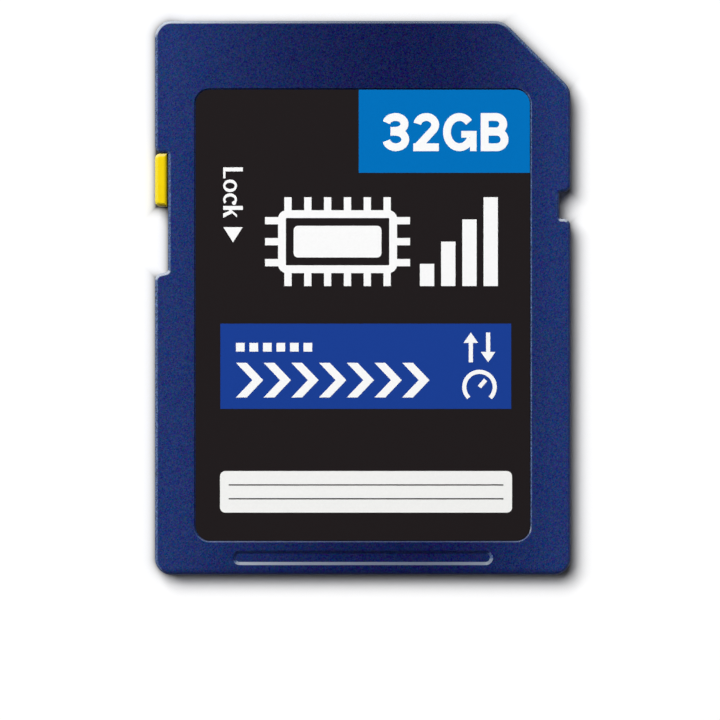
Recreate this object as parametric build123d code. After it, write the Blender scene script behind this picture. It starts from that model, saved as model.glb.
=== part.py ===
from build123d import *
import os
from math import radians, sqrt, tan

# A full-size memory card lying on its rear face: X runs across it, Y towards the leading edge
# with the contacts, Z out of the label. The origin is the middle of the rear face.
# All sizes are millimetres. Distances along the card are measured from its leading edge.

# Card outline
card_width = 24.0
card_length = 32.0
card_thickness = 2.1
rail_thickness = 1.4
rail_width = 0.85
front_half_thickness = 0.7
corner_radius = 0.95
back_corner_radius = 0.5
corner_cut = 3.9
cut_blend_radius = 1.2
front_edge_radius = 0.2
rear_edge_chamfer = 0.25
rail_edge_chamfer = 0.12
seam_chamfer = 0.04

# Latch notch in the right rail
latch_notch_start = 9.88
latch_notch_length = 1.55
latch_notch_depth = 0.64
latch_mouth_radius = 0.42
notch_root_radius = 0.12

# Lock slider and the notch it runs in, in the left rail
lock_notch_start = 7.62
lock_notch_depth = 0.75
lock_mouth_radius = 0.4
lock_end_slope = 14.0
lock_travel = 3.5
lock_run_out = 0.28
slider_length = 3.05
slider_inset = 0.04
slider_corner_radius = 0.3
slider_edge_radius = 0.22
slider_clearance = 0.04
neck_length = 2.2
neck_height = 0.4
flange_length = 2.6
flange_height = 0.8
flange_width = 0.42
track_lip = 0.4
track_wall = 0.4

# Walls of the two covers and the pocket for the board
front_wall = 0.35
rear_wall = 0.3
side_wall = 1.25
leading_wall = 0.9
tail_wall = 1.6
ledge_width = 0.6
lap_clearance = 0.03
pocket_radius = 0.25
support_rib_count = 3
support_rib_width = 0.6

# Label and the recess it lies in
label_side_margin = 2.27
label_lead_margin = 3.9
label_tail_margin = 1.92
label_corner_radius = 0.9
label_thickness = 0.08
label_gap = 0.02
recess_depth = 0.1
recess_draft = 30.0
recess_lip_radius = 0.1

# Finger groove near the tail
groove_tail_margin = 0.57
groove_side_margin = 4.48
groove_width = 0.84
groove_depth = 0.12
groove_draft = 56.0

# Contact windows, ribs and pads
contact_row_gap = 0.15
contact_row_end_gap = 0.95
wide_contact_count = 6
contact_pitch_narrow = 1.7
contact_rib = 0.6
contact_rib_narrow = 0.5
window_length = 6.6
corner_window_length = 8.1
window_bar = 0.7
lead_in = 0.3
pad_thickness = 0.05
pad_gap = 0.1
pad_edge_gap = 0.3
pad_corner_radius = 0.2

# Circuit board and the parts on it
board_thickness = 0.35
board_clearance = 0.1
flash_width = 11.5
flash_length = 13.0
flash_headroom = 0.05
flash_tail_gap = 1.2
controller_size = 5.0
controller_headroom = 0.1
controller_lead_gap = 1.6
package_chamfer = 0.08
pin_mark_radius = 0.35
pin_mark_depth = 0.04
pin_mark_gap = 0.9
passive_length = 1.0
passive_width = 0.5
passive_end = 0.25
passive_step = 0.02
passive_gap = 0.8
passive_pitch = 1.2
capacitor_count = 4
capacitor_headroom = 0.15
resistor_count = 3
resistor_headroom = 0.3

# Levels through the thickness
half_width = card_width / 2
half_length = card_length / 2
rail_z = card_thickness - rail_thickness
parting_z = card_thickness - front_half_thickness
ceiling_z = card_thickness - front_wall
recess_z = card_thickness - recess_depth
board_rear_z = rail_z + pad_thickness
board_front_z = board_rear_z + board_thickness

# Places along the lock track
lock_wall_x = -half_width + lock_notch_depth
lock_top_y = half_length - lock_notch_start
lock_notch_length = slider_clearance + slider_length + lock_travel + lock_run_out
slider_top_y = lock_top_y - slider_clearance
slider_middle_y = slider_top_y - slider_length / 2
track_middle_y = slider_middle_y - lock_travel / 2
track_run = lock_travel + 2 * slider_clearance
flange_slot_x = lock_wall_x + track_lip
flange_slot_end_x = flange_slot_x + flange_width + 2 * slider_clearance
flange_slot_length = flange_length + track_run

# Places of the contact row, counted from the contact beside the cut corner
window_narrow = contact_pitch_narrow - contact_rib_narrow
contact_first_x = half_width - side_wall - contact_row_gap - window_narrow / 2
contact_last_x = -half_width + side_wall + contact_row_end_gap + window_narrow / 2
contact_pitch = (contact_first_x - contact_last_x - contact_pitch_narrow) / (wide_contact_count + 1)
window_wide = contact_pitch - contact_rib
pad_top_y = half_length - leading_wall - board_clearance - pad_edge_gap


def plate(sketch, low, high):
    return extrude(Pos(0, 0, low) * sketch, amount=high - low, dir=(0, 0, 1))


def area(x, y):
    place = Pos((x[0] + x[1]) / 2, (y[0] + y[1]) / 2)
    return place * Rectangle(x[1] - x[0], y[1] - y[0])


def block(x, y, z):
    return plate(area(x, y), z[0], z[1])


def round_corners(sketch, points, radius):
    picked = [sketch.vertices().sort_by_distance((x, y, 0))[0] for x, y in points]
    return fillet(picked, radius)


def cut_line(inset):
    # Sum of x and y on the slanted side, moved square to itself by the inset.
    return half_width + half_length - corner_cut - inset * sqrt(2)


def card_outline():
    latch_top = half_length - latch_notch_start
    latch_bottom = latch_top - latch_notch_length
    latch_wall = half_width - latch_notch_depth
    lock_bottom = lock_top_y - lock_notch_length
    lock_mouth = lock_bottom - lock_notch_depth * tan(radians(lock_end_slope))
    corners = [(-half_width, half_length), (half_width, -half_length), (-half_width, -half_length)]
    slant = [(half_width - corner_cut, half_length), (half_width, half_length - corner_cut)]
    latch_mouth = [(half_width, latch_top), (half_width, latch_bottom)]
    latch_root = [(latch_wall, latch_top), (latch_wall, latch_bottom)]
    lock_mouths = [(-half_width, lock_mouth), (-half_width, lock_top_y)]
    lock_root = [(lock_wall_x, lock_bottom), (lock_wall_x, lock_top_y)]
    shape = Polygon(
        corners[0], *slant,
        latch_mouth[0], *latch_root, latch_mouth[1],
        corners[1], corners[2],
        lock_mouths[0], *lock_root, lock_mouths[1],
        align=None,
    )
    shape = round_corners(shape, corners, corner_radius)
    shape = round_corners(shape, slant, cut_blend_radius)
    shape = round_corners(shape, latch_mouth, latch_mouth_radius)
    shape = round_corners(shape, lock_mouths, lock_mouth_radius)
    return round_corners(shape, latch_root + lock_root, notch_root_radius)


def pocket(inset):
    # Outline of the board pocket, clear of the lock track, moved inwards by the inset.
    right = half_width - side_wall - inset
    left = -right
    tail = -half_length + tail_wall + inset
    lead = half_length - leading_wall - inset
    slant = cut_line(leading_wall + inset)
    shape = Polygon(
        (left, tail), (right, tail), (right, slant - right), (slant - lead, lead), (left, lead),
        align=None,
    )
    reach = flange_slot_length / 2 + track_wall + inset
    track_x = flange_slot_end_x + track_wall + inset
    shape -= area((-half_width, track_x), (track_middle_y - reach, track_middle_y + reach))
    return fillet(shape.vertices(), pocket_radius)


def lock_track():
    # T-shaped slot behind the lock notch, half of it in each cover.
    neck = neck_height / 2 + slider_clearance
    flange = flange_height / 2 + slider_clearance
    reach = (neck_length + track_run) / 2
    slot = block(
        (lock_wall_x - lock_notch_depth / 2, flange_slot_x + flange_width / 2),
        (track_middle_y - reach, track_middle_y + reach),
        (parting_z - neck, parting_z + neck),
    )
    reach = flange_slot_length / 2
    slot += block(
        (flange_slot_x, flange_slot_end_x),
        (track_middle_y - reach, track_middle_y + reach),
        (parting_z - flange, parting_z + flange),
    )
    return slot


def lock_slider():
    top = slider_top_y
    tab = block(
        (-half_width, lock_wall_x - slider_clearance),
        (top - slider_length, top),
        (rail_z + slider_inset, card_thickness - slider_inset),
    )
    tab = fillet(tab.edges().filter_by(Axis.Z).group_by(Axis.X)[0], slider_corner_radius)
    faces = tab.faces().sort_by(Axis.Z)
    tab = fillet(faces[0].edges() + faces[-1].edges(), slider_edge_radius)
    tab += block(
        (lock_wall_x - slider_clearance - slider_corner_radius, flange_slot_end_x - slider_clearance),
        (slider_middle_y - neck_length / 2, slider_middle_y + neck_length / 2),
        (parting_z - neck_height / 2, parting_z + neck_height / 2),
    )
    tab += block(
        (flange_slot_x + slider_clearance, flange_slot_end_x - slider_clearance),
        (slider_middle_y - flange_length / 2, slider_middle_y + flange_length / 2),
        (parting_z - flange_height / 2, parting_z + flange_height / 2),
    )
    return tab


def label_area(inset):
    width = card_width - 2 * label_side_margin - 2 * inset
    length = card_length - label_lead_margin - label_tail_margin - 2 * inset
    middle = (label_tail_margin - label_lead_margin) / 2
    return Pos(0, middle) * RectangleRounded(width, length, label_corner_radius - inset)


def front_label():
    inset = recess_depth * tan(radians(recess_draft)) + label_gap
    return plate(label_area(inset), recess_z, recess_z + label_thickness)


def finger_groove():
    length = card_width - 2 * groove_side_margin
    middle = -half_length + groove_tail_margin + groove_width / 2
    mouth = Pos(0, middle, card_thickness) * SlotOverall(length, groove_width)
    return extrude(mouth, amount=-groove_depth, taper=groove_draft)


def front_cover():
    cover = plate(card_outline(), parting_z, card_thickness)
    cover = fillet(cover.faces().sort_by(Axis.Z)[-1].edges(), front_edge_radius)
    cover = chamfer(cover.faces().sort_by(Axis.Z)[0].edges(), seam_chamfer)
    cover += plate(pocket(lap_clearance), board_front_z, parting_z)
    cover -= plate(pocket(ledge_width), board_front_z, ceiling_z)
    cover -= lock_track()
    mouth = Pos(0, 0, card_thickness) * label_area(0)
    cover -= extrude(mouth, amount=-recess_depth, taper=recess_draft)
    lip = cover.faces().sort_by(Axis.Z)[-1].inner_wires()[0]
    cover = fillet(lip.edges(), recess_lip_radius)
    return cover - finger_groove()


def contacts():
    # Number, centre, window width and window end of each contact, from the cut corner across.
    end = half_length - window_length
    last = wide_contact_count
    row = [(last + 3, contact_first_x, window_narrow, half_length - corner_window_length)]
    for number in range(1, last + 1):
        row.append((number, contact_first_x - number * contact_pitch, window_wide, end))
    row.append((last + 1, contact_last_x + contact_pitch_narrow, window_narrow, end))
    row.append((last + 2, contact_last_x, window_narrow, end))
    return row


def relief():
    # Hollow behind the board below the contact windows, with ribs left standing in it.
    bar_y = half_length - max(window_length, corner_window_length) - window_bar
    shape = pocket(ledge_width) & area((-half_width, half_width), (-half_length, bar_y))
    pitch = (card_width - 2 * side_wall) / (support_rib_count + 1)
    for i in range(support_rib_count):
        x = (i - (support_rib_count - 1) / 2) * pitch
        shape -= Pos(x, 0) * Rectangle(support_rib_width, card_length)
    return shape


def lead_in_ramp():
    # Slope along the leading and slanted sides that lifts the contact springs onto the pads.
    slope = Polygon((-lead_in, 0), (lead_in, 0), (lead_in, 2 * lead_in), align=None)
    slant = half_width - corner_cut / 2, half_length - corner_cut / 2
    lead_plane = Plane((0, half_length, rail_z), x_dir=(0, 1, 0), z_dir=(1, 0, 0))
    slant_plane = Plane((*slant, rail_z), x_dir=(1, 1, 0), z_dir=(1, -1, 0))
    ramp = extrude(lead_plane * slope, amount=half_width, both=True)
    return ramp + extrude(slant_plane * slope, amount=corner_cut / sqrt(2), both=True)


def back_outline():
    # The thick middle of the card between the two thin side rails.
    side = half_width - rail_width
    slant = cut_line(0)
    corners = [(-side, half_length), (-side, -half_length), (side, -half_length), (side, slant - side)]
    lead_corner = (slant - half_length, half_length)
    shape = Polygon(*corners, lead_corner, align=None)
    shape = round_corners(shape, [lead_corner], cut_blend_radius)
    return round_corners(shape, corners, back_corner_radius)


def rail_bevel(side):
    # Bevel along the rear edge of a side rail, on the right for 1 and on the left for -1.
    x = side * half_width
    wedge = Polygon(
        (x, rail_z - rail_edge_chamfer), (x, rail_z + rail_edge_chamfer),
        (x - side * rail_edge_chamfer, rail_z), (x - side * rail_edge_chamfer, rail_z - rail_edge_chamfer),
        align=None,
    )
    return extrude(Plane.XZ * wedge, amount=half_length, both=True)


def rear_cover():
    cover = plate(back_outline(), 0, rail_z)
    cover = chamfer(cover.faces().sort_by(Axis.Z)[0].edges(), rear_edge_chamfer)
    rails = plate(card_outline(), rail_z, parting_z)
    cover += chamfer(rails.faces().sort_by(Axis.Z)[-1].edges(), seam_chamfer)
    cover -= rail_bevel(1)
    cover -= rail_bevel(-1)
    cover -= plate(pocket(0), board_rear_z, parting_z)
    cover -= plate(relief(), rear_wall, board_rear_z)
    for number, x, width, end in contacts():
        window = area((x - width / 2, x + width / 2), (end, half_length + lead_in))
        cover -= plate(window, 0, rail_z)
        cover -= plate(window & pocket(0), 0, parting_z)
        cover -= plate(window, rail_z, parting_z) & lead_in_ramp()
    return cover - lock_track()


def circuit_board():
    return plate(pocket(board_clearance), board_rear_z, board_front_z)


def contact_pad(x, width, end):
    wide = width - 2 * pad_gap
    slant = cut_line(leading_wall + board_clearance + pad_edge_gap) - x - wide / 2
    top = min(pad_top_y, slant)
    bottom = end + pad_gap
    shape = Pos(x, (top + bottom) / 2) * RectangleRounded(wide, top - bottom, pad_corner_radius)
    return plate(shape, rail_z, board_rear_z)


def package(width, length, headroom, y):
    top = ceiling_z - headroom
    body = block((-width / 2, width / 2), (y - length / 2, y + length / 2), (board_front_z, top))
    body = chamfer(body.faces().sort_by(Axis.Z)[-1].edges(), package_chamfer)
    mark = Pos(pin_mark_gap - width / 2, y + length / 2 - pin_mark_gap) * Circle(pin_mark_radius)
    return body - plate(mark, top - pin_mark_depth, top)


def passive(x, y, headroom):
    # A small block with two plated ends standing a little proud of its body.
    top = ceiling_z - headroom
    half = passive_length / 2
    side = passive_width / 2
    inner = side - passive_step
    body = block((x - half, x + half), (y - inner, y + inner), (board_front_z, top - passive_step))
    for low, high in ((-half, passive_end - half), (half - passive_end, half)):
        body += block((x + low, x + high), (y - side, y + side), (board_front_z, top))
    return body


def board_parts():
    flash_y = -half_length + tail_wall + ledge_width + flash_tail_gap + flash_length / 2
    controller_y = half_length - leading_wall - ledge_width - controller_lead_gap - controller_size / 2
    reach = controller_size / 2 + passive_gap + passive_length / 2
    top_y = controller_y + controller_size / 2 - passive_width / 2
    parts = {
        "flash_memory": package(flash_width, flash_length, flash_headroom, flash_y),
        "controller": package(controller_size, controller_size, controller_headroom, controller_y),
    }
    for i in range(capacitor_count):
        parts[f"capacitor_{i + 1}"] = passive(reach, top_y - i * passive_pitch, capacitor_headroom)
    for i in range(resistor_count):
        parts[f"resistor_{i + 1}"] = passive(-reach, top_y - i * passive_pitch, resistor_headroom)
    return parts


pieces = {
    "front_cover": front_cover(),
    "rear_cover": rear_cover(),
    "lock_slider": lock_slider(),
    "front_label": front_label(),
    "circuit_board": circuit_board(),
}
for number, x, width, end in contacts():
    pieces[f"contact_pad_{number}"] = contact_pad(x, width, end)
pieces.update(board_parts())

os.makedirs("parts", exist_ok=True)
for name, shape in pieces.items():
    export_step(shape, f"parts/{name}.step")
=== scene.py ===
import math

import bmesh
import bpy
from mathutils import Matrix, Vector
from mathutils.geometry import delaunay_2d_cdt


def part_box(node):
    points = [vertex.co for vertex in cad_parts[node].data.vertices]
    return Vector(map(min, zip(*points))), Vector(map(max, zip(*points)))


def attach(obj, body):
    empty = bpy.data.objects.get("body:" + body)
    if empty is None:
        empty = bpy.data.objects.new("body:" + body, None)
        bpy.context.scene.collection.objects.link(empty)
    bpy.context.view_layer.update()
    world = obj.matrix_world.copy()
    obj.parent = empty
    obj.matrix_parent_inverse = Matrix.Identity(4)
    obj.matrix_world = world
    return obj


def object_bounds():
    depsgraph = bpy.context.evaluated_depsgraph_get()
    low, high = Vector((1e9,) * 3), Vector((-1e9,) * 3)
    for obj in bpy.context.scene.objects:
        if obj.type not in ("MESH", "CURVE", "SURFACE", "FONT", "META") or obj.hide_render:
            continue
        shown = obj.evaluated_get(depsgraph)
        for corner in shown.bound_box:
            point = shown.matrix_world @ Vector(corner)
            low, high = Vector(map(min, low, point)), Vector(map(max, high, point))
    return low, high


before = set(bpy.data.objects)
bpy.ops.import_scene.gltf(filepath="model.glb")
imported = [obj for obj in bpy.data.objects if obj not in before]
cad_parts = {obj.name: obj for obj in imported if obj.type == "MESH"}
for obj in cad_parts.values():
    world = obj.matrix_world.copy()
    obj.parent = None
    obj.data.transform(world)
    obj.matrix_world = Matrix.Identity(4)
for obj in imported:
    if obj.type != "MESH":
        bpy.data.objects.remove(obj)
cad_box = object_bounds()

# Circuit board: a thin laminate of woven glass and resin that carries everything in the card.
# Its copper tracks lie under green solder mask, and its routed edge shows the bare resin.
mm = 0.001
glass_thread = 0.45 * mm
track_pitch = 0.5 * mm
track_edge = (0.55, 0.65)
board_relief = 0.01 * mm
mask_dark = "#12402A"
mask_over_copper = "#1F5E3A"
bare_resin = "#A79A63"
# Radians that a wave texture of scale 1 turns in one unit, and a Mix node's two colour inputs
wave_turn = 20
colour_a, colour_b = 6, 7


def linear(code):
    """An sRGB hex colour as linear red, green, blue and alpha."""
    parts = [int(code[i:i + 2], 16) / 255 for i in (1, 3, 5)]
    return [*(c / 12.92 if c <= 0.04045 else ((c + 0.055) / 1.055) ** 2.4 for c in parts), 1.0]


def add(tree, kind, inputs, **settings):
    """Adds a node with its settings. An input is given a value, or an output or a node to link to it."""
    made = tree.nodes.new("ShaderNode" + kind)
    for name, value in settings.items():
        setattr(made, name, value)
    for name, value in inputs.items():
        if isinstance(value, bpy.types.Node):
            value = next(output for output in value.outputs if output.enabled)
        if isinstance(value, bpy.types.NodeSocket):
            tree.links.new(value, made.inputs[name])
        else:
            made.inputs[name].default_value = value
    return made


def start_material(name):
    """A new material with an empty node tree, and that tree."""
    made = bpy.data.materials.new(name)
    made.use_nodes = True
    made.node_tree.nodes.clear()
    return made, made.node_tree


def finish_material(tree, shader):
    add(tree, "OutputMaterial", {"Surface": shader})


def dress(node, material):
    """Gives a CAD node its finish."""
    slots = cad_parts[node].data.materials
    slots.clear()
    slots.append(material)


def solder_mask_laminate():
    # Satin green lacquer: straight tracks show lighter through it, and the glass weave
    # prints through as a faint checker. The routed edge is dull straw-coloured resin.
    material, tree = start_material("solder_mask_on_glass_laminate")
    place = add(tree, "TexCoord", {}).outputs["Object"]
    weave = add(tree, "TexChecker", {"Vector": place, "Scale": 1 / glass_thread}).outputs["Fac"]
    tracks = add(
        tree, "TexWave", {"Vector": place, "Scale": math.tau / wave_turn / track_pitch},
        wave_type="BANDS", bands_direction="X", wave_profile="SIN",
    ).outputs["Fac"]
    copper = add(tree, "MapRange", {"Value": tracks, "From Min": track_edge[0], "From Max": track_edge[1]})
    mask = add(
        tree, "Mix", {"Factor": copper, colour_a: linear(mask_dark), colour_b: linear(mask_over_copper)},
        data_type="RGBA",
    )
    normal = add(tree, "NewGeometry", {}).outputs["True Normal"]
    upright = add(tree, "SeparateXYZ", {"Vector": normal}).outputs["Z"]
    flat = add(tree, "Math", {0: upright}, operation="ABSOLUTE")
    colour = add(
        tree, "Mix", {"Factor": flat, colour_a: linear(bare_resin), colour_b: mask}, data_type="RGBA",
    )
    relief = add(tree, "Math", {0: weave, 1: copper}, operation="ADD")
    bump = add(tree, "Bump", {"Height": relief, "Strength": 0.3, "Distance": board_relief})
    finish_material(tree, add(tree, "BsdfPrincipled", {
        "Base Color": colour, "Roughness": 0.42, "IOR": 1.52, "Normal": bump,
    }))
    return material


dress("circuit_board", solder_mask_laminate())

# Contact pads: nine copper lands on the back of the board, plated with nickel and hard gold.
# Sockets wipe along them, which leaves fine scratches in line with the card.
wipe_width = 0.05 * mm
wipe_length = 2.5 * mm
wipe_depth = 0.004 * mm
gold_bright = "#F3CE7C"
gold_worn = "#D9A94C"


def hard_gold_plate():
    # Warm polished metal, duller in the long thin streaks where springs have wiped it.
    material, tree = start_material("hard_gold_plate_wiped")
    place = add(tree, "TexCoord", {}).outputs["Object"]
    streaks = add(
        tree, "Mapping", {"Vector": place, "Scale": (1 / wipe_width, 1 / wipe_length, 1 / wipe_width)},
    )
    wipes = add(tree, "TexNoise", {"Vector": streaks, "Scale": 1.0, "Detail": 3.0}).outputs["Fac"]
    colour = add(
        tree, "Mix", {"Factor": wipes, colour_a: linear(gold_bright), colour_b: linear(gold_worn)},
        data_type="RGBA",
    )
    rough = add(tree, "MapRange", {"Value": wipes, "To Min": 0.14, "To Max": 0.36})
    bump = add(tree, "Bump", {"Height": wipes, "Strength": 0.25, "Distance": wipe_depth})
    finish_material(tree, add(tree, "BsdfPrincipled", {
        "Base Color": colour, "Metallic": 1.0, "Roughness": rough, "Normal": bump,
    }))
    return material


gold = hard_gold_plate()
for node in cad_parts:
    if node.startswith("contact_pad"):
        dress(node, gold)

# Memory and controller: two flat packages soldered to the front of the board, each a chip
# cast in black epoxy, with a dimple over its first pin.
epoxy_grit = 0.09 * mm
epoxy_relief = 0.01 * mm
epoxy_dark = "#17181A"
epoxy_grey = "#2B2C2F"


def cast_epoxy():
    # Dull black with a silica grit that gives a fine grey speckle.
    material, tree = start_material("cast_black_epoxy")
    place = add(tree, "TexCoord", {}).outputs["Object"]
    grit = add(
        tree, "TexNoise", {"Vector": place, "Scale": 1 / epoxy_grit, "Detail": 2.0, "Roughness": 0.7},
    ).outputs["Fac"]
    colour = add(
        tree, "Mix", {"Factor": grit, colour_a: linear(epoxy_dark), colour_b: linear(epoxy_grey)},
        data_type="RGBA",
    )
    bump = add(tree, "Bump", {"Height": grit, "Strength": 0.35, "Distance": epoxy_relief})
    finish_material(tree, add(tree, "BsdfPrincipled", {
        "Base Color": colour, "Roughness": 0.58, "IOR": 1.55, "Normal": bump,
    }))
    return material


epoxy = cast_epoxy()
dress("flash_memory", epoxy)
dress("controller", epoxy)

# Capacitors and resistors: small fired ceramic blocks beside the controller. Both ends of
# each are dipped in tin, and the resistors have a dark glaze over their film.
tinned_share = 0.25
tin_roughness = 0.3
ceramic_grain = 0.06 * mm
ceramic_shade = 0.7
capacitor_tan = "#8C6A48"
resistor_glaze = "#1B1D22"
tin = "#C9CBCC"


def tin_dipped_ceramic(name, body_colour, body_roughness):
    # Matt body between two bright ends; the length across the block says which is which.
    material, tree = start_material(name)
    place = add(tree, "TexCoord", {}).outputs
    along = add(tree, "SeparateXYZ", {"Vector": place["Generated"]}).outputs["X"]
    off_middle = add(tree, "Math", {0: along, 1: 0.5}, operation="SUBTRACT")
    reach = add(tree, "Math", {0: off_middle}, operation="ABSOLUTE")
    ends = add(tree, "Math", {0: reach, 1: 0.5 - tinned_share}, operation="GREATER_THAN")
    grain = add(
        tree, "TexNoise", {"Vector": place["Object"], "Scale": 1 / ceramic_grain, "Detail": 2.0},
    ).outputs["Fac"]
    dark_grain = [c * ceramic_shade for c in linear(body_colour)]
    body = add(
        tree, "Mix", {"Factor": grain, colour_a: linear(body_colour), colour_b: dark_grain},
        data_type="RGBA",
    )
    colour = add(tree, "Mix", {"Factor": ends, colour_a: body, colour_b: linear(tin)}, data_type="RGBA")
    rough = add(tree, "MapRange", {"Value": ends, "To Min": body_roughness, "To Max": tin_roughness})
    finish_material(tree, add(tree, "BsdfPrincipled", {
        "Base Color": colour, "Metallic": ends, "Roughness": rough,
    }))
    return material


capacitor_ceramic = tin_dipped_ceramic("tin_dipped_capacitor_ceramic", capacitor_tan, 0.6)
resistor_ceramic = tin_dipped_ceramic("tin_dipped_glazed_alumina", resistor_glaze, 0.35)
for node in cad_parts:
    if node.startswith("capacitor"):
        dress(node, capacitor_ceramic)
    if node.startswith("resistor"):
        dress(node, resistor_ceramic)

# Rear and front covers: two thin shells moulded in dark blue plastic and welded together
# round the board. The mould was spark eroded, so every outer face has a fine grain.
facet_size = 0.06 * mm
facet_depth = 0.012 * mm
facet_stray = (0.034, 0.042, 0.09)
facet_stray_middle = 0.6
# Painted light and shade: a shaded line right of the middle, lit towards both long sides
shaded_middle_blue = "#121B4C"
lit_side_blue = "#23346D"
painted_shade_x = 3.0 * mm
cover_left_reach = 14.0 * mm
cover_right_reach = 8.0 * mm
face_roughness = 0.24
wall_roughness = 0.75
# A tilt is how far the surface faces up, forwards or outwards, from -1 to 1
wall_tilt, face_tilt = 0.45, 0.88
# Painted highlight on the rounded edges, with painted glints; less where they face away from the key
highlight_slope = (0.006, 0.1)
edge_highlight_blue = "#43547A"
painted_glint_spread = 0.95
away_from_key_tilt = -0.35
away_from_key_highlight = 0.06
pale_highlight_middle = "#4B566B"
pale_highlight_side = "#A2A9B6"
leading_tilt = (0.02, 0.15)
lip_highlight = 0.45
lip_reach = (0.3 * mm, 0.6 * mm)
# Painted shade along the tail edge
tail_shade_blue = "#04062F"
tail_shade_strength = 0.65
tail_shade_reach = 0.42 * mm


def lit_side_share(tree, spot):
    """Share of painted light: none on the painted shade line right of the middle, full at the long sides.
    """
    to_left = add(tree, "MapRange", {
        "Value": spot["X"], "From Min": painted_shade_x, "From Max": painted_shade_x - cover_left_reach,
    })
    to_right = add(tree, "MapRange", {
        "Value": spot["X"], "From Min": painted_shade_x, "From Max": painted_shade_x + cover_right_reach,
    })
    away = add(tree, "Math", {0: to_left, 1: to_right}, operation="MAXIMUM")
    return add(tree, "Math", {0: away, 1: 2.0}, operation="POWER")


def highlight_by_slope(tree, normal):
    """Share of painted highlight by slope: none on level faces and upright walls, full on the rounds
    between them.
    """
    level = add(tree, "Math", {0: normal["Z"], 1: 2.0}, operation="POWER")
    steep = add(tree, "Math", {0: 1.0, 1: level}, operation="SUBTRACT")
    slope = add(tree, "Math", {0: level, 1: steep}, operation="MULTIPLY")
    return add(tree, "MapRange", {"Value": slope, "From Min": highlight_slope[0], "From Max": highlight_slope[1]})


def lip_highlight_share(tree, spot):
    """Share of painted highlight by place: less on the lip below the label, full everywhere else."""
    label_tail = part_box("front_label")[0].y
    below_label = add(tree, "Math", {0: spot["Y"], 1: label_tail}, operation="SUBTRACT")
    from_lip = add(tree, "Math", {0: below_label}, operation="ABSOLUTE")
    return add(tree, "MapRange", {
        "Value": from_lip, "From Min": lip_reach[0], "From Max": lip_reach[1], "To Min": lip_highlight,
    })


def speckled_tint(tree, lit_share, facets):
    """The tint with its painted light and shade, and each facet's own stray of red, green and blue, which
    is weaker where it is dark.
    """
    tint = add(
        tree, "Mix", {"Factor": lit_share, colour_a: linear(shaded_middle_blue), colour_b: linear(lit_side_blue)},
        data_type="RGBA",
    )
    stray = add(
        tree, "VectorMath",
        {0: facets.outputs["Color"], 1: facet_stray, 2: [-reach / 2 for reach in facet_stray]},
        operation="MULTIPLY_ADD",
    )
    strength = add(tree, "MapRange", {"Value": lit_share, "To Min": facet_stray_middle})
    speckle = add(tree, "VectorMath", {0: stray, "Scale": strength}, operation="SCALE")
    speckled = add(tree, "VectorMath", {0: tint, 1: speckle}, operation="ADD")
    return add(tree, "VectorMath", {0: speckled, 1: (0, 0, 0)}, operation="MAXIMUM")


def edge_highlight_colour(tree, lit_share, facets, pale_highlight):
    """Colour of the painted edge highlight: facets with painted glints, or an even pale grey towards the
    leading edge.
    """
    painted_glint = add(tree, "MapRange", {
        "Value": facets.outputs["Color"], "To Min": 1 - painted_glint_spread, "To Max": 1 + painted_glint_spread,
    })
    glinting = add(tree, "VectorMath", {0: linear(edge_highlight_blue)[:3], "Scale": painted_glint}, operation="SCALE")
    pale = add(
        tree, "Mix", {"Factor": lit_share, colour_a: linear(pale_highlight_middle), colour_b: linear(pale_highlight_side)},
        data_type="RGBA",
    )
    return add(tree, "Mix", {"Factor": pale_highlight, colour_a: glinting, colour_b: pale}, data_type="RGBA")


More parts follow.
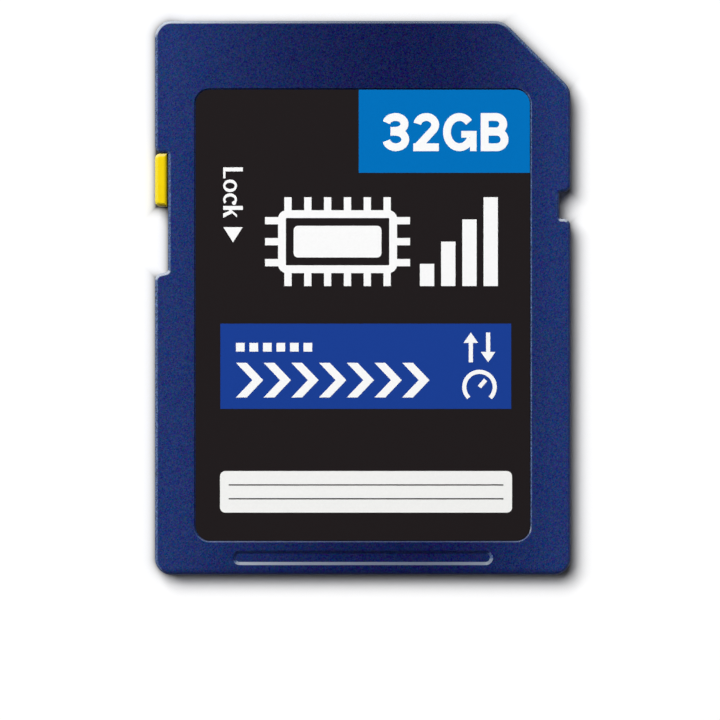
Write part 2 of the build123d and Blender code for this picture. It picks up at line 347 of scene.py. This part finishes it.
def eroded_blue_plastic():
    # Satin blue speckled by the mould's grain; along each edge its facets carry painted glints.
    # A painted shade darkens the blue on a line right of the middle, and painted light brightens it
    # towards both long sides. Painted highlights make the rounded edges pale, most on the leading
    # edge and the lock side, which face the key, and less on the lip below the label. A painted
    # shade darkens the faces along the tail, and the walls are duller than the faces.
    material, tree = start_material("spark_eroded_blue_plastic")
    place = add(tree, "TexCoord", {}).outputs
    spot = add(tree, "SeparateXYZ", {"Vector": place["Object"]}).outputs
    normal = add(tree, "SeparateXYZ", {"Vector": place["Normal"]}).outputs
    facets = add(tree, "TexVoronoi", {"Vector": place["Object"], "Scale": 1 / facet_size})
    lit_share = lit_side_share(tree, spot)
    highlight_by_place = lip_highlight_share(tree, spot)

    # Painted highlight: pale rounds where they face the key, most towards the leading edge and lock side
    facing = add(tree, "Math", {0: normal["Y"], 1: normal["X"]}, operation="SUBTRACT")
    facing_key = add(tree, "MapRange", {
        "Value": facing, "From Min": away_from_key_tilt, "From Max": 0.0, "To Min": away_from_key_highlight,
    })
    highlight_on_rounds = add(tree, "Math", {0: highlight_by_slope(tree, normal), 1: highlight_by_place}, operation="MULTIPLY")
    painted_highlight = add(tree, "Math", {0: highlight_on_rounds, 1: facing_key}, operation="MULTIPLY")
    sideways = add(tree, "Math", {0: normal["X"], 1: 0.0}, operation="MAXIMUM")
    forward = add(tree, "Math", {0: normal["Y"], 1: sideways}, operation="SUBTRACT")
    leading = add(tree, "MapRange", {
        "Value": forward, "From Min": leading_tilt[0], "From Max": leading_tilt[1],
    })
    pale_highlight = add(tree, "Math", {0: leading, 1: highlight_by_place}, operation="MULTIPLY")
    grained = speckled_tint(tree, lit_share, facets)
    highlighted_edge = edge_highlight_colour(tree, lit_share, facets, pale_highlight)
    with_highlights = add(
        tree, "Mix", {"Factor": painted_highlight, colour_a: grained, colour_b: highlighted_edge}, data_type="RGBA",
    )

    flat = add(tree, "Math", {0: normal["Z"]}, operation="ABSOLUTE")
    # Painted shade: the faces darken towards the tail edge
    tail = cad_box[0].y
    near_tail = add(tree, "MapRange", {
        "Value": spot["Y"], "From Min": tail + tail_shade_reach, "From Max": tail, "To Max": tail_shade_strength,
    })
    tail_shade = add(tree, "Math", {0: near_tail, 1: flat}, operation="MULTIPLY")
    colour = add(
        tree, "Mix", {"Factor": tail_shade, colour_a: with_highlights, colour_b: linear(tail_shade_blue)},
        data_type="RGBA",
    )
    rough = add(tree, "MapRange", {
        "Value": flat, "From Min": wall_tilt, "From Max": face_tilt,
        "To Min": wall_roughness, "To Max": face_roughness,
    })
    bump = add(tree, "Bump", {
        "Height": facets.outputs["Distance"], "Strength": 0.35, "Distance": facet_depth,
    })
    finish_material(tree, add(tree, "BsdfPrincipled", {
        "Base Color": colour, "Roughness": rough, "IOR": 1.5, "Specular IOR Level": 0.25, "Normal": bump,
    }))
    return material


blue_plastic = eroded_blue_plastic()
dress("rear_cover", blue_plastic)
dress("front_cover", blue_plastic)

# Lock slider: a small tab moulded in yellow plastic, held by its foot in a slot between the
# covers. It is pushed towards the tail of the card to lock it.
slider_mottle = 0.5 * mm
slider_grain = 0.07 * mm
slider_relief = 0.01 * mm
slider_yellow = "#F5D912"
slider_shade = "#EDCB0E"
# Painted highlights on the slider's rounded edges
slider_side_highlight = "#E0CB2F"
slider_end_highlight = "#DCC96E"
# Painted shade on what faces the tail
slider_foot_shade = "#B49F20"
outer_tilt = (0.0, 0.2)
end_tilt = (0.1, 0.4)
foot_shade_tilt = (-0.02, -0.3)


def moulded_yellow_plastic():
    # Smooth and slightly waxy, with a faint mottle from the way the melt flowed. Painted highlights
    # make its rounded edges pale on the outer side and the leading end; a painted shade darkens the tail
    # end.
    material, tree = start_material("moulded_yellow_plastic")
    place = add(tree, "TexCoord", {}).outputs
    normal = add(tree, "SeparateXYZ", {"Vector": place["Normal"]}).outputs
    mottle = add(
        tree, "TexNoise", {"Vector": place["Object"], "Scale": 1 / slider_mottle, "Detail": 2.0},
    ).outputs["Fac"]
    clean = add(
        tree, "Mix", {"Factor": mottle, colour_a: linear(slider_yellow), colour_b: linear(slider_shade)},
        data_type="RGBA",
    )
    # Painted shade: darker where the slider faces the tail
    foot_shade = add(tree, "MapRange", {
        "Value": normal["Y"], "From Min": foot_shade_tilt[0], "From Max": foot_shade_tilt[1],
    })
    with_foot_shade = add(
        tree, "Mix", {"Factor": foot_shade, colour_a: clean, colour_b: linear(slider_foot_shade)}, data_type="RGBA",
    )
    # Painted highlight on the rounds that face outwards and towards the leading end
    facing = add(tree, "Math", {0: normal["Y"], 1: normal["X"]}, operation="SUBTRACT")
    outer = add(tree, "MapRange", {"Value": facing, "From Min": outer_tilt[0], "From Max": outer_tilt[1]})
    pale_highlight = add(tree, "Math", {0: highlight_by_slope(tree, normal), 1: outer}, operation="MULTIPLY")
    at_end = add(tree, "MapRange", {"Value": normal["Y"], "From Min": end_tilt[0], "From Max": end_tilt[1]})
    pale = add(
        tree, "Mix",
        {"Factor": at_end, colour_a: linear(slider_side_highlight), colour_b: linear(slider_end_highlight)},
        data_type="RGBA",
    )
    colour = add(tree, "Mix", {"Factor": pale_highlight, colour_a: with_foot_shade, colour_b: pale}, data_type="RGBA")
    grain = add(tree, "TexNoise", {"Vector": place["Object"], "Scale": 1 / slider_grain}).outputs["Fac"]
    bump = add(tree, "Bump", {"Height": grain, "Strength": 0.1, "Distance": slider_relief})
    finish_material(tree, add(tree, "BsdfPrincipled", {
        "Base Color": colour, "Roughness": 0.22, "IOR": 1.48, "Specular IOR Level": 0.06, "Normal": bump,
    }))
    return material


dress("lock_slider", moulded_yellow_plastic())

# Front label: a printed film stuck in the recess of the front cover. The film is black all
# over, and every colour on it is a further coat of ink.
film_ripple = 0.8 * mm
film_relief = 0.01 * mm
ink_mottle = 0.12 * mm
thin_ink = 0.94
satin_ink = 0.35
ink_gloss_spread = 0.05
film_black = "#221D1E"


def printed_film(name, code, roughness):
    # Smooth satin ink: a fine mottle in the colour, and the ripple of the adhesive below.
    material, tree = start_material(name)
    place = add(tree, "TexCoord", {}).outputs["Object"]
    mottle = add(
        tree, "TexNoise", {"Vector": place, "Scale": 1 / ink_mottle, "Detail": 2.0},
    ).outputs["Fac"]
    thinner = [c * thin_ink for c in linear(code)]
    colour = add(
        tree, "Mix", {"Factor": mottle, colour_a: linear(code), colour_b: thinner}, data_type="RGBA",
    )
    ripple = add(tree, "TexNoise", {"Vector": place, "Scale": 1 / film_ripple}).outputs["Fac"]
    bump = add(tree, "Bump", {"Height": ripple, "Strength": 0.05, "Distance": film_relief})
    rough = add(tree, "MapRange", {
        "Value": mottle, "To Min": roughness - ink_gloss_spread, "To Max": roughness + ink_gloss_spread,
    })
    finish_material(tree, add(tree, "BsdfPrincipled", {
        "Base Color": colour, "Roughness": rough, "IOR": 1.5, "Specular IOR Level": 0.08, "Normal": bump,
    }))
    return material


black_ink = printed_film("black_ink_on_film", film_black, satin_ink)
dress("front_label", black_ink)
label_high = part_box("front_label")[1] / mm

# Blue print: a block in the label's cut-corner end that carries the capacity, and a band
# across its middle. Both are screened over the black and stay inside the film's edge.
# From here on, sizes and places of the print are in millimetres.
ink_thickness = 0.008
ink_edge = 0.005
ink_weld = 0.00001
label_corner = 0.82
block_left = -0.23
block_bottom = 7.22
band_left, band_right = -8.22, 8.57
band_bottom, band_top = -6.41, -1.49
block_blue = "#0071BD"
band_blue = "#1B3F95"


def arc(centre, radius, start, end, steps=16):
    """Points on an arc or, with two radii, on part of an ellipse. Angles are degrees."""
    wide, high = radius if isinstance(radius, tuple) else (radius, radius)
    turns = [math.radians(start + (end - start) * i / steps) for i in range(steps + 1)]
    return [(centre[0] + wide * math.cos(t), centre[1] + high * math.sin(t)) for t in turns]


def bar(left, bottom, right, top):
    return [(left, bottom), (right, bottom), (right, top), (left, top)]


def print_ink(name, fields, material, above=0.0):
    """Makes one thin film of ink on the label from fields, outlines that may overlap."""
    points = [Vector(point) for field in fields for point in field]
    first = 0
    outlines = []
    for field in fields:
        outlines.append(list(range(first, first + len(field))))
        first += len(field)
    inside_only = 1
    places, _, triangles, _, _, covered_by = delaunay_2d_cdt(points, [], outlines, inside_only, ink_weld)
    mesh = bmesh.new()
    base = label_high.z + above
    corners = [mesh.verts.new((x * mm, y * mm, base * mm)) for x, y in places]
    faces = [
        mesh.faces.new([corners[i] for i in triangle])
        for triangle, fields_here in zip(triangles, covered_by) if fields_here
    ]
    mesh.normal_update()
    raised = bmesh.ops.extrude_face_region(mesh, geom=faces, use_keep_orig=True)["geom"]
    moved = [part for part in raised if isinstance(part, bmesh.types.BMVert)]
    bmesh.ops.translate(mesh, verts=moved, vec=(0, 0, ink_thickness * mm))
    bmesh.ops.delete(mesh, geom=[v for v in mesh.verts if not v.link_faces], context="VERTS")
    bmesh.ops.recalc_face_normals(mesh, faces=mesh.faces)
    data = bpy.data.meshes.new(name)
    mesh.to_mesh(data)
    mesh.free()
    data.materials.append(material)
    piece = bpy.data.objects.new(name, data)
    bpy.context.scene.collection.objects.link(piece)
    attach(piece, "card")


block_right = label_high.x - ink_edge
block_top = label_high.y - ink_edge
corner_middle = (block_right - label_corner, block_top - label_corner)
block_outline = [
    (block_left, block_bottom), (block_right, block_bottom),
    *arc(corner_middle, label_corner, 0, 90), (block_left, block_top),
]
print_ink("capacity_block", [block_outline], printed_film("light_blue_ink", block_blue, satin_ink))
print_ink(
    "middle_band",
    [bar(band_left, band_bottom, band_right, band_top)],
    printed_film("dark_blue_ink", band_blue, satin_ink),
)

# White print: the capacity in the light blue block, and beside the slider the word and arrow
# that say which way it locks. All of it is one coat of dense white ink.
dense_white = "#FDFDFD"
white_roughness = 0.3
capacity_height = 2.2
capacity_stroke = 0.205
capacity_gap = 0.11
capacity_place = (1.16, 8.47)
lock_height = 1.14
lock_stroke = 0.2
lock_gap = 0.06
lock_place = (-8.06, 7.53)
lock_arrow_width = 1.11
lock_arrow_length = 0.87
lock_arrow_top = 4.08


def ribbon(line, width):
    """Fields that cover a line of points with one even width, mitred where the line turns."""
    line = [Vector(point) for point in line]
    longest_mitre = 2
    sides = []
    for i, point in enumerate(line):
        before = (point - line[i - 1]).normalized() if i else None
        after = (line[i + 1] - point).normalized() if i + 1 < len(line) else None
        along = ((before or after) + (after or before)).normalized()
        spread = width / 2 / max(along.dot(before or after), 1 / longest_mitre)
        across = Vector((-along.y, along.x)) * spread
        sides.append((point - across, point + across))
    return [[a[0], b[0], b[1], a[1]] for a, b in zip(sides, sides[1:])]


def ring(centre, outer, inner, start, end, steps=28):
    """Fields of a ring, or part of one, between two ellipses."""
    rims = list(zip(arc(centre, outer, start, end, steps), arc(centre, inner, start, end, steps)))
    return [[a[0], b[0], b[1], a[1]] for a, b in zip(rims, rims[1:])]


def letter_fields(letter, stroke):
    """A letter's width and fields, one unit high. Those of the word thin out where they run across."""
    half = stroke / 2
    wide = 0.8 * stroke
    thin = 0.58 * stroke
    low, high = half, 1 - half
    if letter == "3":
        top = arc((0.33, 0.715), (0.24, high - 0.715), 170, -90) + [(0.2, 1.43 - high)]
        foot = [(0.2, 0.51)] + arc((0.34, (0.51 + low) / 2), (0.25, (0.51 - low) / 2), 90, -170)
        return 0.69, ribbon(top, stroke) + ribbon(foot, stroke)
    if letter == "2":
        bow = arc((0.34, 0.69), (0.235, high - 0.69), 172, -38) + [(half, low)]
        return 0.67, ribbon(bow, stroke) + [bar(0, 0, 0.67, stroke)]
    if letter == "G":
        bow = arc((0.43, 0.5), (0.43 - half, 0.5 - half), 40, 335, 28)
        return 0.88, ribbon(bow, stroke) + [bar(0.48, 0.355, 0.88, 0.53), bar(0.71, 0, 0.88, 0.45)]
    if letter == "B":
        top = [(half, high), *arc((0.4, (high + 0.52) / 2), (high - 0.52) / 2, 90, -90), (half, 0.52)]
        foot = [(half, 0.51), *arc((0.42, (0.51 + low) / 2), (0.51 - low) / 2, 90, -90), (half, low)]
        return 0.73, [bar(0, 0, stroke, 1)] + ribbon(top, stroke) + ribbon(foot, stroke)
    if letter == "L":
        return 0.55, [bar(0, 0, stroke, 1), bar(0, 0, 0.55, thin)]
    if letter == "o":
        return 0.64, ring((0.32, 0.35), (0.32, 0.35), (0.32 - wide, 0.35 - thin), 0, 360)
    if letter == "c":
        ball = arc((0.49, 0.55), 0.105, 0, 330, 11)
        return 0.58, ring((0.32, 0.35), (0.32, 0.35), (0.32 - wide, 0.35 - thin), 50, 310) + [ball]
    if letter == "k":
        arm = [(stroke, 0.26), (0.58, 0.7), (0.44, 0.7), (stroke, 0.42)]
        leg = [(0.38, 0), (0.6, 0), (0.36, 0.46), (0.24, 0.34)]
        return 0.6, [bar(0, 0, stroke, 1), arm, leg]


def lettering(word, place, height, stroke, gap, downwards=False):
    """Fields of a word that starts at its lower left corner, read across or turned to read downwards."""
    fields = []
    start = 0
    for letter in word:
        width, outlines = letter_fields(letter, stroke)
        for outline in outlines:
            spots = [((start + x) * height, y * height) for x, y in outline]
            if downwards:
                spots = [(y, -x) for x, y in spots]
            fields.append([(place[0] + x, place[1] + y) for x, y in spots])
        start += width + gap
    return fields


white_ink = printed_film("white_ink", dense_white, white_roughness)
print_ink(
    "capacity_number",
    lettering("32GB", capacity_place, capacity_height, capacity_stroke, capacity_gap),
    white_ink, above=ink_thickness,
)
arrow_middle = lock_place[0] + lock_height / 2
lock_arrow = [
    (arrow_middle - lock_arrow_width / 2, lock_arrow_top),
    (arrow_middle, lock_arrow_top - lock_arrow_length),
    (arrow_middle + lock_arrow_width / 2, lock_arrow_top),
]
print_ink(
    "lock_marking",
    lettering("Lock", lock_place, lock_height, lock_stroke, lock_gap, downwards=True) + [lock_arrow],
    white_ink,
)

# Pictograms: plain signs for what the card is, a chip with its pins and a rising row of bars,
# and in the band a row of chevrons, two arrows and a dial. Same white ink.
chip_left, chip_right = -5.64, 2.73
chip_bottom, chip_top = 0.68, 5.81
chip_pin = 0.75
chip_pin_width = 0.42
chip_wall = 0.45
chip_core_gap = 0.45
chip_corner = 0.5
core_corner = 0.25
chip_pins_along = 6
chip_pins_up = 3
level_left, level_right = 3.3, 7.8
level_count = 4
level_gap = 0.4
chevron_count = 7
chevron_left = -7.32
chevron_pitch = 1.6
chevron_bottom, chevron_top = -5.75, -3.75
chevron_point = 0.95
chevron_stroke = 0.62
dot_size = 0.5
dot_pitch = 0.78
dot_count = 6
dot_bottom = -3.1
sign_middle = 6.74
sign_stroke = 0.24
arrow_bottom, arrow_top = -3.72, -2.0
arrow_offset = 0.5
arrow_head_half = 0.42
arrow_head_length = 0.6
arrow_shaft_stop = 0.55
dial_middle = -5.15
dial_radius = 0.88
dial_start, dial_end = -45, 225
needle_share = 0.62
needle_angle = 50


def rounded_bar(left, bottom, right, top, radius):
    """Outline of a bar with four round corners, counterclockwise from its right side."""
    middles = [
        (right - radius, top - radius), (left + radius, top - radius),
        (left + radius, bottom + radius), (right - radius, bottom + radius),
    ]
    rounds = [arc(middle, radius, 90 * i, 90 * i + 90, 6) for i, middle in enumerate(middles)]
    return [point for corner in rounds for point in corner]


def shrink(field, inset):
    left, bottom, right, top = field
    return left + inset, bottom + inset, right - inset, top - inset


body = shrink((chip_left, chip_bottom, chip_right, chip_top), chip_pin)
wall_line = rounded_bar(*shrink(body, chip_wall / 2), chip_corner - chip_wall / 2)
chip = ribbon(wall_line + wall_line[:2], chip_wall)
chip.append(rounded_bar(*shrink(body, chip_wall + chip_core_gap), core_corner))
for i in range(chip_pins_along):
    x = body[0] + (body[2] - body[0]) * (i + 0.5) / chip_pins_along
    chip.append(bar(x - chip_pin_width / 2, chip_bottom, x + chip_pin_width / 2, body[1] + chip_wall / 2))
    chip.append(bar(x - chip_pin_width / 2, body[3] - chip_wall / 2, x + chip_pin_width / 2, chip_top))
for i in range(chip_pins_up):
    y = body[1] + (body[3] - body[1]) * (i + 0.5) / chip_pins_up
    chip.append(bar(chip_left, y - chip_pin_width / 2, body[0] + chip_wall / 2, y + chip_pin_width / 2))
    chip.append(bar(body[2] - chip_wall / 2, y - chip_pin_width / 2, chip_right, y + chip_pin_width / 2))
print_ink("chip_sign", chip, white_ink)

level_width = (level_right - level_left - (level_count - 1) * level_gap) / level_count
levels = []
for i in range(level_count):
    left = level_left + i * (level_width + level_gap)
    top = chip_bottom + (chip_top - chip_bottom) * (i + 1) / level_count
    levels.append(bar(left, chip_bottom, left + level_width, top))
print_ink("level_sign", levels, white_ink)

chevron_middle = (chevron_bottom + chevron_top) / 2
chevrons = []
for i in range(chevron_count):
    left = chevron_left + i * chevron_pitch
    right = left + chevron_stroke
    near_point = (left + chevron_point, chevron_middle)
    far_point = (right + chevron_point, chevron_middle)
    chevrons.append([(left, chevron_bottom), (right, chevron_bottom), far_point, near_point])
    chevrons.append([near_point, far_point, (right, chevron_top), (left, chevron_top)])
for i in range(dot_count):
    left = chevron_left + i * dot_pitch
    chevrons.append(bar(left, dot_bottom, left + dot_size, dot_bottom + dot_size))
print_ink("chevron_sign", chevrons, white_ink, above=ink_thickness)

dial = (sign_middle, dial_middle)
needle_tip = arc(dial, dial_radius * needle_share, needle_angle, needle_angle, 1)[0]
signs = ribbon(arc(dial, dial_radius, dial_start, dial_end, 28), sign_stroke)
signs += ribbon([dial, needle_tip], sign_stroke)
for side, tip, tail in ((-1, arrow_top, arrow_bottom), (1, arrow_bottom, arrow_top)):
    x = sign_middle + side * arrow_offset
    way = 1 if tip > tail else -1
    head_base = tip - way * arrow_head_length
    head = [(x - arrow_head_half, head_base), (x, tip), (x + arrow_head_half, head_base)]
    signs.append(head if way < 0 else head[::-1])
    signs += ribbon([(x, tail), (x, tip - way * arrow_shaft_stop)], sign_stroke)
print_ink("band_signs", signs, white_ink, above=ink_thickness)

# Write-on field: a panel of matt white ink near the tail, so that an owner can write on it,
# with two fine rules printed over it in black.
field_left, field_right = -8.24, 8.62
field_bottom, field_top = -12.4, -10.0
field_corner = 0.3
field_roughness = 0.6
rule_width = 0.07
rule_margin = 0.5
rule_count = 2
matt_white = "#F6F6F4"
print_ink(
    "write_on_field",
    [rounded_bar(field_left, field_bottom, field_right, field_top, field_corner)],
    printed_film("matt_white_ink", matt_white, field_roughness),
)
row_height = (field_top - field_bottom) / (rule_count + 1)
rules = []
for i in range(1, rule_count + 1):
    rule = field_bottom + i * row_height
    rules += ribbon([(field_left + rule_margin, rule), (field_right - rule_margin, rule)], rule_width)
print_ink("writing_rules", rules, black_ink, above=ink_thickness)

# Stage: a white table that the card lies on, with the camera straight above as in the photograph.
# One lamp lights the table alone, and a soft key lights the card from beyond its leading edge. Three
# low panels add only gloss, along the leading edge, the lock side and the slanted side.
floor_size = 3.0
outline_radius = 0.95 * mm
slant_spread = 0.6
lock_notch_wall = -11.25 * mm
lock_notch_lit_end = 1.15 * mm
latch_notch_wall = 11.36 * mm
latch_notch_ends = (4.3 * mm, 6.25 * mm)
shade_reach = 0.225 * mm
shade_depth = 0.64
left_shade_depth = 0.95
room_light = 0.05
photo_pixels = 720
photo_scale = 17.32
photo_card_middle = (362.75, 297.85)
lens = 300.0
sensor = 36.0
camera_near = 0.01

floor_data = bpy.data.meshes.new("floor")
floor_corners = [(x * floor_size / 2, y * floor_size / 2, 0) for x, y in bar(-1, -1, 1, 1)]
floor_data.from_pydata(floor_corners, [], [(0, 1, 2, 3)])
floor = bpy.data.objects.new("floor", floor_data)
bpy.context.scene.collection.objects.link(floor)
cover_spots = [vertex.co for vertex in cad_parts["front_cover"].data.vertices]
slant_reach = max(spot.x + spot.y for spot in cover_spots) / math.sqrt(2)


def shaded_paper():
    # White paper with a painted shade beside the card, where the card keeps the room's light from it,
    # darker the nearer it lies: the shade follows the distance from the card's sides, its slanted side and
    # both notches.
    material, tree = start_material("white_paper_painted_shade")
    place = add(tree, "TexCoord", {}).outputs["Object"]
    spot = add(tree, "SeparateXYZ", {"Vector": place}).outputs

    quarter = add(tree, "VectorMath", {0: place}, operation="ABSOLUTE")
    straight = (cad_box[1].x - outline_radius, cad_box[1].y - outline_radius, 0)
    beyond = add(tree, "VectorMath", {0: quarter, 1: straight}, operation="SUBTRACT")
    past = add(tree, "VectorMath", {0: beyond, 1: (0, 0, 0)}, operation="MAXIMUM")
    away = add(tree, "VectorMath", {0: past}, operation="LENGTH")
    from_sides = add(tree, "Math", {0: away, 1: outline_radius}, operation="SUBTRACT")
    diagonal = (math.sqrt(0.5), math.sqrt(0.5), 0)
    along = add(tree, "VectorMath", {0: place, 1: diagonal}, operation="DOT_PRODUCT")
    from_slant = add(
        tree, "Math", {0: along, 1: slant_spread, 2: -slant_spread * slant_reach}, operation="MULTIPLY_ADD",
    )
    outside = add(tree, "Math", {0: from_sides, 1: from_slant}, operation="MAXIMUM")

    def from_notch(from_wall, low, high):
        above_low = add(tree, "Math", {0: spot["Y"], 1: low}, operation="SUBTRACT")
        below_high = add(tree, "Math", {0: high, 1: spot["Y"]}, operation="SUBTRACT")
        from_ends = add(tree, "Math", {0: above_low, 1: below_high}, operation="MINIMUM")
        return add(tree, "Math", {0: from_wall, 1: from_ends}, operation="MINIMUM")

    from_lock_wall = add(tree, "Math", {0: lock_notch_wall, 1: spot["X"]}, operation="SUBTRACT")
    from_lock = from_notch(from_lock_wall, lock_notch_lit_end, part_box("lock_slider")[0].y)
    from_latch_wall = add(tree, "Math", {0: spot["X"], 1: latch_notch_wall}, operation="SUBTRACT")
    from_latch = from_notch(from_latch_wall, *latch_notch_ends)
    in_notches = add(tree, "Math", {0: from_lock, 1: from_latch}, operation="MAXIMUM")

    # Painted shade: darkest at the card, fading with the distance from it
    nearest = add(tree, "Math", {0: outside, 1: in_notches}, operation="MAXIMUM")
    gap = add(tree, "Math", {0: nearest, 1: 0.0}, operation="MAXIMUM")
    fall = add(tree, "Math", {0: gap, 1: -1 / shade_reach}, operation="MULTIPLY")
    close = add(tree, "Math", {0: fall}, operation="EXPONENT")
    depth = add(tree, "MapRange", {
        "Value": spot["X"], "From Min": lock_notch_wall, "From Max": lock_notch_wall + outline_radius,
        "To Min": -left_shade_depth, "To Max": -shade_depth,
    })
    white = add(tree, "Math", {0: close, 1: depth, 2: 1.0}, operation="MULTIPLY_ADD")
    finish_material(tree, add(tree, "BsdfDiffuse", {"Color": white}))
    return material


floor_data.materials.append(shaded_paper())


def soft_box(name, place, size, watts, lit, tint="#FFFFFF", diffuse=True, glossy=True):
    """A rectangular lamp that faces the origin and lights what a collection says."""
    lamp = bpy.data.lights.new(name, "AREA")
    lamp.shape = "RECTANGLE"
    lamp.size, lamp.size_y = size
    lamp.energy = watts
    lamp.color = linear(tint)[:3]
    holder = bpy.data.objects.new(name, lamp)
    holder.location = place
    holder.rotation_euler = (-Vector(place)).to_track_quat("-Z", "Y").to_euler()
    holder.visible_diffuse = diffuse
    holder.visible_glossy = glossy
    bpy.context.scene.collection.objects.link(holder)
    holder.light_linking.receiver_collection = lit


table_only = bpy.data.collections.new("table_only")
table_only.objects.link(floor)
card_only = bpy.data.collections.new("all_but_table")
card_only.objects.link(floor)
card_only.collection_objects[0].light_linking.link_state = "EXCLUDE"
soft_box("table_light", place=(-0.27, 0.31, 0.97), size=(0.56, 0.54), watts=12.8, lit=table_only)
soft_box("key", place=(-0.25, 0.35, 0.43), size=(0.45, 0.45), watts=5.8, lit=card_only, glossy=False)
soft_box(
    "edge_panel", place=(-0.07, 0.44, 0.14), size=(0.12, 0.46), watts=1.3, lit=card_only,
    tint="#FFFAF0", diffuse=False,
)
soft_box(
    "side_panel", place=(-0.36, 0.0, 0.30), size=(0.14, 0.40), watts=0.5, lit=card_only,
    tint="#D8F8FF", diffuse=False,
)
soft_box(
    "slant_panel", place=(0.225, 0.225, 0.25), size=(0.20, 0.46), watts=0.7, lit=card_only,
    tint="#B8E8F8", diffuse=False,
)

world = bpy.data.worlds.new("studio")
world.use_nodes = True
background = world.node_tree.nodes["Background"]
background.inputs["Color"].default_value = (1, 1, 1, 1)
background.inputs["Strength"].default_value = room_light
bpy.context.scene.world = world

camera_data = bpy.data.cameras.new("camera")
camera_data.lens = lens
camera_data.sensor_width = sensor
camera_data.clip_start = camera_near
photo_width = photo_pixels / photo_scale * mm
photo_middle = photo_pixels / 2
camera = bpy.data.objects.new("camera", camera_data)
camera.location = (
    (photo_middle - photo_card_middle[0]) / photo_scale * mm,
    (photo_card_middle[1] - photo_middle) / photo_scale * mm,
    cad_box[1].z + photo_width * lens / sensor,
)
bpy.context.scene.collection.objects.link(camera)
bpy.context.scene.camera = camera
bpy.context.scene.view_settings.view_transform = "Standard"
